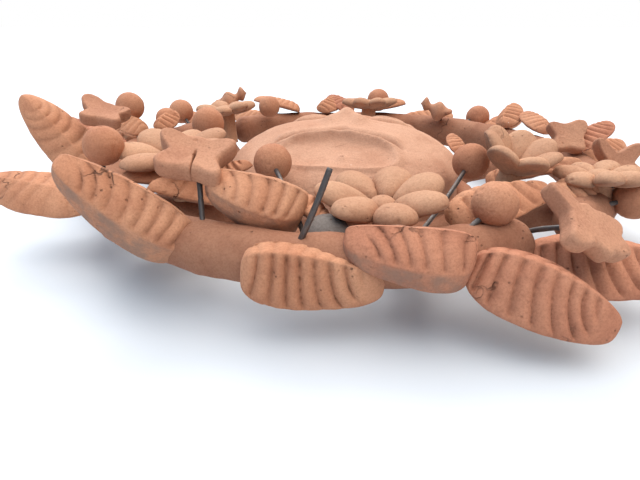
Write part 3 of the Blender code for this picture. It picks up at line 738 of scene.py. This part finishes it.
class Nodes:
    """Short way to add and join the nodes of one material."""

    def __init__(self, name):
        self.material = bpy.data.materials.new(name)
        self.material.use_nodes = True
        self.tree = self.material.node_tree
        self.shader = self.tree.nodes["Principled BSDF"]
        self.place = self.tree.nodes.new("ShaderNodeTexCoord").outputs["Object"]

    def join(self, value, socket):
        """Link an output to a socket, or set the socket to a plain value."""
        if isinstance(value, bpy.types.NodeSocket):
            self.tree.links.new(value, socket)
        elif value is not None:
            socket.default_value = value

    def noise(self, scale, detail=3.0, rough=0.55, warp=0.0):
        """Noise value at a scale per metre."""
        node = self.tree.nodes.new("ShaderNodeTexNoise")
        values = {"Scale": scale, "Detail": detail, "Roughness": rough, "Distortion": warp}
        for label, value in values.items():
            node.inputs[label].default_value = value
        self.join(self.place, node.inputs["Vector"])
        return node.outputs["Fac"]

    def cells(self, scale, feature="F1", place=None):
        """Distance to the nearest cell middle or edge, at a scale per metre."""
        node = self.tree.nodes.new("ShaderNodeTexVoronoi")
        node.feature = feature
        node.inputs["Scale"].default_value = scale
        self.join(place or self.place, node.inputs["Vector"])
        return node.outputs["Distance"]

    def strayed(self, scale, amount):
        """Object place pushed about by noise, which bends the lines of a pattern."""
        node = self.tree.nodes.new("ShaderNodeTexNoise")
        node.inputs["Scale"].default_value = scale
        self.join(self.place, node.inputs["Vector"])
        mix = self.tree.nodes.new("ShaderNodeVectorMath")
        mix.operation = "MULTIPLY_ADD"
        self.join(node.outputs["Color"], mix.inputs[0])
        mix.inputs[1].default_value = (amount,) * 3
        self.join(self.place, mix.inputs[2])
        return mix.outputs["Vector"]

    def mark(self, name):
        """A value painted on the mesh."""
        node = self.tree.nodes.new("ShaderNodeAttribute")
        node.attribute_name = name
        return node.outputs["Fac"]

    def span(self, value, low, high, out_low=0.0, out_high=1.0):
        """The value's range from low to high, eased to a new range."""
        node = self.tree.nodes.new("ShaderNodeMapRange")
        node.interpolation_type = "SMOOTHSTEP"
        self.join(value, node.inputs["Value"])
        ends = {"From Min": low, "From Max": high, "To Min": out_low, "To Max": out_high}
        for label, number in ends.items():
            node.inputs[label].default_value = number
        return node.outputs["Result"]

    def maths(self, operation, first, second=None):
        """One sum of two values."""
        node = self.tree.nodes.new("ShaderNodeMath")
        node.operation = operation
        self.join(first, node.inputs[0])
        self.join(second, node.inputs[1])
        return node.outputs["Value"]

    def blend(self, share, first, second, mode="MIX"):
        """Two colours mixed by a share."""
        node = self.tree.nodes.new("ShaderNodeMix")
        node.data_type = "RGBA"
        node.blend_type = mode
        self.join(share, node.inputs["Factor"])
        colours = [socket for socket in node.inputs if socket.type == "RGBA"]
        for colour, socket in zip((first, second), colours):
            self.join((*colour, 1.0) if isinstance(colour, tuple) else colour, socket)
        return [socket for socket in node.outputs if socket.type == "RGBA"][0]

    def bump(self, height, distance, strength=1.0, before=None):
        """Normal of a height field, over an earlier one."""
        node = self.tree.nodes.new("ShaderNodeBump")
        node.inputs["Strength"].default_value = strength
        node.inputs["Distance"].default_value = distance
        self.join(height, node.inputs["Height"])
        self.join(before, node.inputs["Normal"])
        return node.outputs["Normal"]


PIT_COLOUR = (0.13, 0.055, 0.03)
CRACK_COLOUR = (0.10, 0.045, 0.028)
CHIP_COLOUR = (0.86, 0.80, 0.74)
# Grey of rubbed clay, also painted on as shade on flat sides that lie in shade.
WORN_AND_SHADE_COLOUR = (0.25, 0.155, 0.115)


def dyed(colour, share):
    """The colour with each part multiplied by a share, up to one."""
    return tuple(min(1.0, share * part) for part in colour)


def terracotta(name, pale, warm, deep, pitting=1.0, specks=1.0, cracks=1.0):
    """Unglazed fired clay: three clay colours in slow patches, fine grain, pits, hair cracks, pale chips.

    pitting, specks and cracks are how strong each shows. The mesh's groove mark darkens the clay as painted
    shade in creases, seams, slits and splits. Its back mark greys the clay in patches: rubbing on flat backs
    and undersides, and painted shade on flat sides that lie in shade.
    """
    n = Nodes(name)
    slow = n.span(n.noise(38, 3, 0.5, 0.3), 0.36, 0.66)
    colour = n.blend(slow, pale, warm)
    blush = n.span(n.noise(95, 4, 0.6), 0.48, 0.72)
    colour = n.blend(n.maths("MULTIPLY", blush, 0.55), colour, deep)
    grain = n.noise(1500, 4, 0.7)
    colour = n.blend(n.span(grain, 0.40, 0.68, 0.0, 0.30), colour, dyed(deep, 0.62))
    sand = n.noise(620, 3, 0.6)
    colour = n.blend(n.span(sand, 0.55, 0.75, 0.0, 0.28), colour, dyed(pale, 1.25))
    pits = n.span(n.cells(430), 0.05, 0.20, 1.0, 0.0)
    pits = n.maths("MULTIPLY", pits, n.span(n.noise(120, 2), 0.50, 0.66, 0.0, pitting))
    colour = n.blend(n.maths("MULTIPLY", pits, 0.75), colour, PIT_COLOUR)
    lines = n.span(n.cells(64, "DISTANCE_TO_EDGE", n.strayed(260, 0.006)), 0.004, 0.022, 1.0, 0.0)
    lines = n.maths("MULTIPLY", lines, n.span(n.noise(52, 2), 0.60, 0.70, 0.0, cracks))
    colour = n.blend(n.maths("MULTIPLY", lines, 0.7), colour, CRACK_COLOUR)
    chips = n.span(n.cells(210), 0.045, 0.085, 1.0, 0.0)
    chips = n.maths("MULTIPLY", chips, n.span(n.noise(170, 2), 0.63, 0.69, 0.0, specks))
    colour = n.blend(chips, colour, CHIP_COLOUR)
    # Painted shade: the groove mark darkens the clay in creases, seams, slits and splits.
    hollow = n.mark("groove")
    colour = n.blend(n.maths("MULTIPLY", hollow, 0.42), colour, dyed(deep, 0.42))
    # Wear and painted shade: the back mark greys the clay in patches, rubbing on flat backs and shade on flat
    # sides in shade.
    worn_and_shade = n.maths("MULTIPLY", n.mark("back"), n.span(n.noise(150, 4, 0.65), 0.36, 0.62, 0.1, 0.78))
    colour = n.blend(worn_and_shade, colour, WORN_AND_SHADE_COLOUR)
    n.join(colour, n.shader.inputs["Base Color"])
    rough = n.span(grain, 0.3, 0.7, 0.80, 0.96)
    n.join(rough, n.shader.inputs["Roughness"])
    n.shader.inputs["Specular IOR Level"].default_value = 0.28
    fine = n.bump(grain, 0.00022, 0.55)
    middle = n.bump(sand, 0.00040, 0.45, fine)
    holes = n.maths("ADD", pits, n.maths("MULTIPLY", lines, 1.2))
    n.join(n.bump(n.maths("MULTIPLY", holes, -1.0), 0.00050, 0.9, middle), n.shader.inputs["Normal"])
    return n.material


def annealed_iron(name):
    """Black annealed wire: dark oxide with brown patches, dull, and a cut end painted bright: bare metal with
    a painted glint.
    """
    n = Nodes(name)
    patches = n.span(n.noise(420, 4, 0.6), 0.45, 0.70)
    colour = n.blend(patches, (0.095, 0.080, 0.076), (0.150, 0.105, 0.085))
    cut_end_and_glint = n.mark("groove")
    # Painted glint: the cut end is painted pale, bare metal catching the light.
    colour = n.blend(cut_end_and_glint, colour, (0.62, 0.58, 0.54))
    n.join(colour, n.shader.inputs["Base Color"])
    n.shader.inputs["Metallic"].default_value = 0.55
    n.join(n.span(n.noise(900, 3), 0.3, 0.7, 0.38, 0.62), n.shader.inputs["Roughness"])
    n.join(n.bump(n.noise(1700, 3), 0.00012, 0.5), n.shader.inputs["Normal"])
    return n.material


FACE_CLAY = terracotta("face_clay", (0.553, 0.297, 0.193), (0.500, 0.254, 0.160), (0.419, 0.196, 0.118),
                       pitting=0.35, specks=0.3, cracks=0.25)
COIL_CLAY = terracotta("coil_clay", (0.361, 0.163, 0.095), (0.310, 0.127, 0.071), (0.245, 0.091, 0.050))
LEAF_CLAY = terracotta("leaf_clay", (0.581, 0.276, 0.156), (0.503, 0.215, 0.116), (0.394, 0.152, 0.083))
RED_LEAF_CLAY = terracotta("red_leaf_clay", (0.514, 0.219, 0.127), (0.426, 0.160, 0.091),
                           (0.317, 0.113, 0.066))
PETAL_CLAY = terracotta("petal_clay", (0.526, 0.286, 0.173), (0.466, 0.237, 0.141), (0.386, 0.178, 0.102),
                        pitting=0.7, specks=0.5, cracks=0.4)
BALL_CLAY = terracotta("ball_clay", (0.529, 0.244, 0.139), (0.455, 0.189, 0.103), (0.370, 0.136, 0.075),
                       pitting=0.4, specks=0.3, cracks=0.15)
SLAB_CLAY = terracotta("slab_clay", (0.523, 0.258, 0.154), (0.457, 0.208, 0.123), (0.355, 0.145, 0.084),
                       pitting=0.8)
GREY_CLAY = terracotta("grey_clay", (0.20, 0.165, 0.145), (0.15, 0.120, 0.105), (0.10, 0.078, 0.068))
IRON = annealed_iron("annealed_iron")


# ---------------------------------------------------------------- the plaque

# Small turns (yaw, pitch, roll) that undo what a neighbour's cut does to a leaf's measured lie.
LEAF_TRIM = {
    "leaf_03": (0.4, -0.5, 178.6),
    "leaf_04": (6.3, -1.4, -10.9),
    "leaf_05": (-2.5, 1.7, 171.5),
    "leaf_11": (1.9, 1.2, 0.6),
    "leaf_12": (-2.9, 1.5, -0.4),
    "leaf_15": (-1.0, 2.0, 185.6),
}
RED_LEAVES = ("leaf_05", "leaf_06", "leaf_07")
# The scraped share greys a flat side: painted shade on leaf_05 and leaf_15, rubbing and shade on leaf_03.
LEAF_LOOKS = {
    "leaf_01": dict(ribs=8, crest=0.1, depth=0.0007, tip=0.34),
    "leaf_02": dict(ribs=9, crest=0.0, depth=0.0009, base=0.40, tip=0.46),
    "leaf_03": dict(ribs=11, crest=-0.22, far=0.0, base=0.28, tip=0.36, rims=(0.26, 0.80), thicker=1.35,
                    scallop=0.12, split=((0.34, 0.55), (0.48, 0.35)), scraped_and_shaded=1.0),
    "leaf_04": dict(ribs=10, crest=0.72, far=0.5, base=0.30, tip=0.30, depth=0.0021, rims=(0.42, 0.24)),
    "leaf_05": dict(ribs=8, crest=-0.05, far=0.0, base=0.16, tip=0.20, rims=(0.26, 0.90), thicker=1.45,
                    scallop=0.14, depth=0.0018, split=((0.12, 0.45), (0.8, 0.3)), scraped_and_shaded=0.9),
    "leaf_06": dict(ribs=10, crest=0.62, far=0.6, base=0.40, tip=0.34, depth=0.0021, rims=(0.42, 0.24),
                    scallop=0.06),
    "leaf_07": dict(ribs=11, crest=0.40, far=0.15, depth=0.0022, tip=0.40),
    "leaf_15": dict(ribs=8, crest=-0.30, far=0.0, base=0.20, tip=0.28, rims=(0.26, 0.75), thicker=1.45,
                    scallop=0.14, scraped_and_shaded=0.9),
    "leaf_16": dict(ribs=8, crest=0.30, depth=0.0018, tip=0.50),
}
# Small moves in metres of a piece from its measured place.
SHIFT = {
    "leaf_15": (0.0, 0.0, 0.003),
    "butterfly_02": (0.0, 0.0, -0.0015),
    "butterfly_04": (0.003, 0.0, -0.003),
}
FLOWER_LOOKS = {
    "flower_01": dict(cup=13, grow=1.24, sink=0.0058, level=0.75, thick=0.0066, shift=(-0.0020, -0.0012),
                      foot=0.013),
    "flower_02": dict(cup=12, grow=1.12, sink=0.001, thick=0.0058),
    "flower_03": dict(cup=42, grow=1.05, sink=0.004, wide=0.66, foot=0.012),
    "flower_04": dict(cup=8, grow=1.05, sink=0.006, foot=0.008),
}
# Each slab's trim, waist and cup, its slit along the middle, and its lobes: bearing, reach and half width.
SLAB_LOOKS = {
    "butterfly_01": dict(trim=(0, 0, 22), waist=0.0070, cup=12.0, slit=(-0.012, 0.0015, 0.00022),
                         thick=0.0062,
                         lobes=((28, 0.0120, 20), (148, 0.0128, 22), (-48, 0.0118, 17),
                                (-148, 0.0118, 24))),
    "butterfly_02": dict(trim=(0, 0, 8), waist=0.0062, cup=12.0,
                         lobes=((15, 0.0105, 22), (145, 0.0125, 28), (-40, 0.0100, 22),
                                (-140, 0.0100, 24))),
    "butterfly_03": dict(trim=(0, 0, 18), waist=0.0068, ragged=0.05,
                         lobes=((22, 0.0135, 26), (-14, 0.0138, 26), (-50, 0.0098, 22), (145, 0.0142, 14),
                                (-128, 0.0108, 24))),
    "butterfly_04": dict(trim=(10, 0, 30), waist=0.0055, cup=20.0,
                         lobes=((35, 0.0110, 22), (125, 0.0135, 16), (-40, 0.0105, 24),
                                (-140, 0.0105, 24))),
}
# Small pieces that fill the wreath, in millimetres and degrees.
# Leaves: origin, then heading, pitch and roll, then length, width and thickness.
FILL_LEAVES = {
    "inner_leaf_1": ((-49, -37, 21), (217, 17, 10), (40, 17, 7)),
    "inner_leaf_2": ((-45, -45, 20), (222, 20, -12), (33, 14, 6.5)),
    "cheek_leaf": ((-53, -47, 27), (-8, 24, 15), (20, 10, 5)),
    "slit_leaf": ((-9, -86, 25), (160, 28, 25), (26, 14, 6.5)),
    "striped_leaf": ((-101, 4, 27), (172, 24, -20), (36, 17, 7)),
    "ring_leaf_1": ((-97, 22, 32), (150, 14, -15), (26, 12, 6)),
    "ring_leaf_2": ((-92, 30, 32), (80, 12, 10), (22, 11, 5.5)),
    "collar_leaf": ((57, 14, 23), (100, 20, 12), (18, 9, 5)),
    "back_leaf_1": ((-10, 94, 31), (60, 10, 6), (27, 14, 6)),
    "back_leaf_2": ((8, 95, 31), (125, 12, 0), (26, 13, 6)),
    "back_leaf_3": ((16, 93, 31), (18, 8, -8), (29, 14, 6)),
    "back_leaf_4": ((-24, 96, 31), (172, 12, 10), (30, 13, 6)),
    "right_leaf_1": ((88, 44, 31), (62, 14, -10), (30, 14, 6)),
    "right_leaf_2": ((101, 26, 31), (95, 10, 8), (28, 13, 6)),
    "right_leaf_3": ((98, -12, 31), (35, 16, -8), (30, 14, 6)),
    "right_inner_leaf": ((58, -24, 21), (-22, 18, 0), (36, 15, 6.5)),
    "pale_leaf": ((66, -68, 27), (30, 10, 20), (24, 13, 6)),
}
# Balls and lumps: centre, radius and how flat.
BUDS = {
    "bud_1": ((26, 104, 37.5), 7.0, 1.0),
    "bud_2": ((-41, 79, 37), 6.2, 1.0),
    "bud_3": ((-92, 44, 36), 5.6, 1.0),
    "clay_lump": ((1, -90, 29), 7.0, 0.7),
    "grey_lump": ((-8.5, -92.5, 27.5), 7.5, 0.6),
}
# Birds: origin, then heading, pitch and roll, then length.
BIRDS = {
    "bird_1": ((-63, 70, 41), (15, 8, 0), 19),
    "bird_2": ((58, 74, 35), (160, 5, 0), 19),
}
# Wires: start, end, radius and bow.
FILL_WIRES = {
    "bird_wire_1": ((-67, 75, 29), (-63, 70.5, 39), 0.7, 0.3),
    "bird_wire_2": ((62, 78, 28), (58.5, 74.5, 33.5), 0.7, 0.3),
    "tied_wire_1": ((70, -70, 28), (101, -54, 31), 1.0, 2.5),
    "tied_wire_2": ((74, -60, 30), (97, -62, 33), 0.9, -2.0),
}
SPARE_BUTTERFLY = ((95, -10, 37), (0, 0, 50))
SPARE_LOBES = ((40, 0.0105, 26), (140, 0.0100, 22), (-50, 0.0085, 24), (-140, 0.0090, 24))
SPARE_WAIST = 0.0060


def build():
    """Make every piece over its solid, in the order of the frame's names."""
    for seed, node in enumerate(sorted(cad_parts)):
        seed = 11 * seed + 3
        if node == "face_mask":
            keep(face(node), FACE_CLAY, "clay_face", node)
        elif node.startswith("ring_coil"):
            keep(rolled_coil(node, coil_measures(node), seed), COIL_CLAY, "clay_coil", node)
        elif node == "collar_coil":
            keep(collar(node, seed), COIL_CLAY, "clay_coil", node)
        elif node.startswith("branch"):
            keep(branch(node, seed), COIL_CLAY, "clay_coil", node)
        elif "wire" in node:
            start, end, radius = rod_ends(node)
            radius = radius * (BARE_WIRE_SHARE if node == "bare_wire" else 1.0)
            keep(wire(node, start, end, radius, seed), IRON, "annealed_wire", node)
        elif node.startswith("berry"):
            low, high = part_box(node)
            centre = np.array((low + high) / 2)
            keep(ball(node, centre, (high.z - low.z) / 2, seed), BALL_CLAY, "clay_berry", node)
        elif node.startswith("butterfly"):
            looks = dict(SLAB_LOOKS[node])
            lie = slab_lie(node, looks.pop("trim"))
            lie.root = lie.root + SHIFT.get(node, (0, 0, 0))
            keep(slab(node, lie, seed=seed, **looks), SLAB_CLAY, "clay_butterfly", node)
        elif node.startswith("flower"):
            items = flower(node, flower_lie(node), seed, **FLOWER_LOOKS.get(node, {}))
            for item in items:
                keep(item, PETAL_CLAY, "clay_flower")
            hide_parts(node)
        elif node.startswith("leaf"):
            clay = RED_LEAF_CLAY if node in RED_LEAVES else LEAF_CLAY
            lie = leaf_lie(node, LEAF_TRIM.get(node, (0, 0, 0)))
            lie.root = lie.root + SHIFT.get(node, (0, 0, 0))
            keep(leaf(node, lie, seed, **LEAF_LOOKS.get(node, {})), clay, "clay_leaf", node)


def metres(millimetres):
    """The same place or size in metres."""
    return np.array(millimetres) / 1000


def fill_wreath():
    """Make the small pieces between the named ones. Every fifth leaf is of the redder clay."""
    for seed, (name, (origin, turns, size)) in enumerate(FILL_LEAVES.items()):
        lie = laid(metres(origin), *turns, metres(size))
        clay = RED_LEAF_CLAY if seed % 5 == 4 else LEAF_CLAY
        item = leaf(name, lie, 900 + 7 * seed, ribs=7 + seed % 3, crest=0.3 * (-1) ** seed)
        keep(item, clay, "clay_leaf")
    for seed, (name, (centre, radius, flat)) in enumerate(BUDS.items()):
        clay = GREY_CLAY if name == "grey_lump" else BALL_CLAY
        keep(ball(name, metres(centre), radius / 1000, 700 + seed, flat=flat), clay, "clay_berry")
    for seed, (name, (origin, turns, length)) in enumerate(BIRDS.items()):
        lie = laid(metres(origin), *turns, (length / 1000,))
        keep(bird(name, lie, 800 + seed), SLAB_CLAY, "clay_butterfly")
    for seed, (name, (start, end, radius, bow)) in enumerate(FILL_WIRES.items()):
        item = wire(name, metres(start), metres(end), radius / 1000, seed, bow / 1000)
        keep(item, IRON, "annealed_wire")
    origin, turns = SPARE_BUTTERFLY
    lie = laid(metres(origin), *turns, None)
    keep(slab("spare_butterfly", lie, SPARE_LOBES, SPARE_WAIST, 601), SLAB_CLAY, "clay_butterfly")


def plain(name, colour):
    """Matt floor colour with the faintest mottle."""
    n = Nodes(name)
    mottled = n.blend(n.span(n.noise(9, 3), 0.35, 0.65), colour, dyed(colour, 0.985))
    n.join(mottled, n.shader.inputs["Base Color"])
    n.shader.inputs["Roughness"].default_value = 0.9
    n.shader.inputs["Specular IOR Level"].default_value = 0.1
    return n.material


def stage():
    """Pale floor, soft light from behind and above, and a soft sky."""
    bpy.ops.mesh.primitive_plane_add(size=FLOOR_SIZE, location=(0, 0, -FLOOR_DROP))
    floor = bpy.context.object
    floor.name = "floor"
    floor.data.materials.append(plain("pale_floor", FLOOR_COLOUR))
    for name, energy, tilt, turn in SUNS:
        sun = bpy.data.lights.new(name, "SUN")
        sun.energy = energy
        sun.angle = SUN_SPREAD
        sun.color = SUN_COLOUR
        lamp = bpy.data.objects.new(name, sun)
        lamp.rotation_euler = (math.radians(tilt), 0, math.radians(turn))
        bpy.context.scene.collection.objects.link(lamp)
    bpy.context.scene.world = soft_sky()
    bpy.context.scene.view_settings.view_transform = "Standard"


def soft_sky():
    """World that lights as a sky and is seen as plain white.

    Its strength is low + (high - low) z^power, where z is the direction's height. Its colour goes from cool
    on the left to warm on the right near the horizon, and to the overhead tint above.
    """
    world = bpy.data.worlds.new("studio")
    world.use_nodes = True
    tree = world.node_tree
    tree.nodes.clear()

    def add(kind, **values):
        """New node with its input values set."""
        node = tree.nodes.new(kind)
        for label, value in values.items():
            node.inputs[label.replace("_", " ")].default_value = value
        return node

    def mixed(share, first, second):
        """Colour between two by a share; a colour is a plain value or a node's output."""
        mix = tree.nodes.new("ShaderNodeMix")
        mix.data_type = "RGBA"
        tree.links.new(share, mix.inputs["Factor"])
        for colour, socket in zip((first, second), [item for item in mix.inputs if item.type == "RGBA"]):
            if isinstance(colour, tuple):
                socket.default_value = (*colour, 1)
            else:
                tree.links.new(colour, socket)
        return [item for item in mix.outputs if item.type == "RGBA"][0]

    way = add("ShaderNodeSeparateXYZ")
    tree.links.new(tree.nodes.new("ShaderNodeTexCoord").outputs["Generated"], way.inputs[0])
    across = add("ShaderNodeMapRange", From_Min=-0.5, From_Max=0.6)
    tree.links.new(way.outputs["X"], across.inputs["Value"])
    climb = add("ShaderNodeMapRange", From_Min=0.6, From_Max=1.0)
    tree.links.new(way.outputs["Z"], climb.inputs["Value"])
    steep = tree.nodes.new("ShaderNodeMath")
    steep.operation = "POWER"
    steep.inputs[1].default_value = SKY_POWER
    steep.use_clamp = True
    tree.links.new(way.outputs["Z"], steep.inputs[0])
    bright = add("ShaderNodeMapRange", From_Min=0.0, From_Max=1.0, To_Min=SKY_LOW, To_Max=SKY_HIGH)
    tree.links.new(steep.outputs[0], bright.inputs["Value"])
    horizon = mixed(across.outputs[0], COOL_SIDE, WARM_SIDE)
    lit = tree.nodes.new("ShaderNodeBackground")
    tree.links.new(mixed(climb.outputs[0], horizon, OVERHEAD), lit.inputs["Color"])
    tree.links.new(bright.outputs[0], lit.inputs["Strength"])
    seen = add("ShaderNodeBackground", Color=(1, 1, 1, 1), Strength=1.0)
    choice = tree.nodes.new("ShaderNodeMixShader")
    tree.links.new(tree.nodes.new("ShaderNodeLightPath").outputs["Is Camera Ray"], choice.inputs[0])
    tree.links.new(lit.outputs[0], choice.inputs[1])
    tree.links.new(seen.outputs[0], choice.inputs[2])
    out = tree.nodes.new("ShaderNodeOutputWorld")
    tree.links.new(choice.outputs[0], out.inputs[0])
    return world


def camera():
    """Camera low in front of the chin, looking down along the plaque."""
    data = bpy.data.cameras.new("camera")
    data.sensor_width = 36
    data.lens = CAMERA_LENS
    data.clip_start = 0.005
    item = bpy.data.objects.new("camera", data)
    item.location = CAMERA_PLACE
    item.rotation_euler = (CAMERA_TILT, 0, 0)
    bpy.context.scene.collection.objects.link(item)
    bpy.context.scene.camera = item


camera()
build()
fill_wreath()
stage()
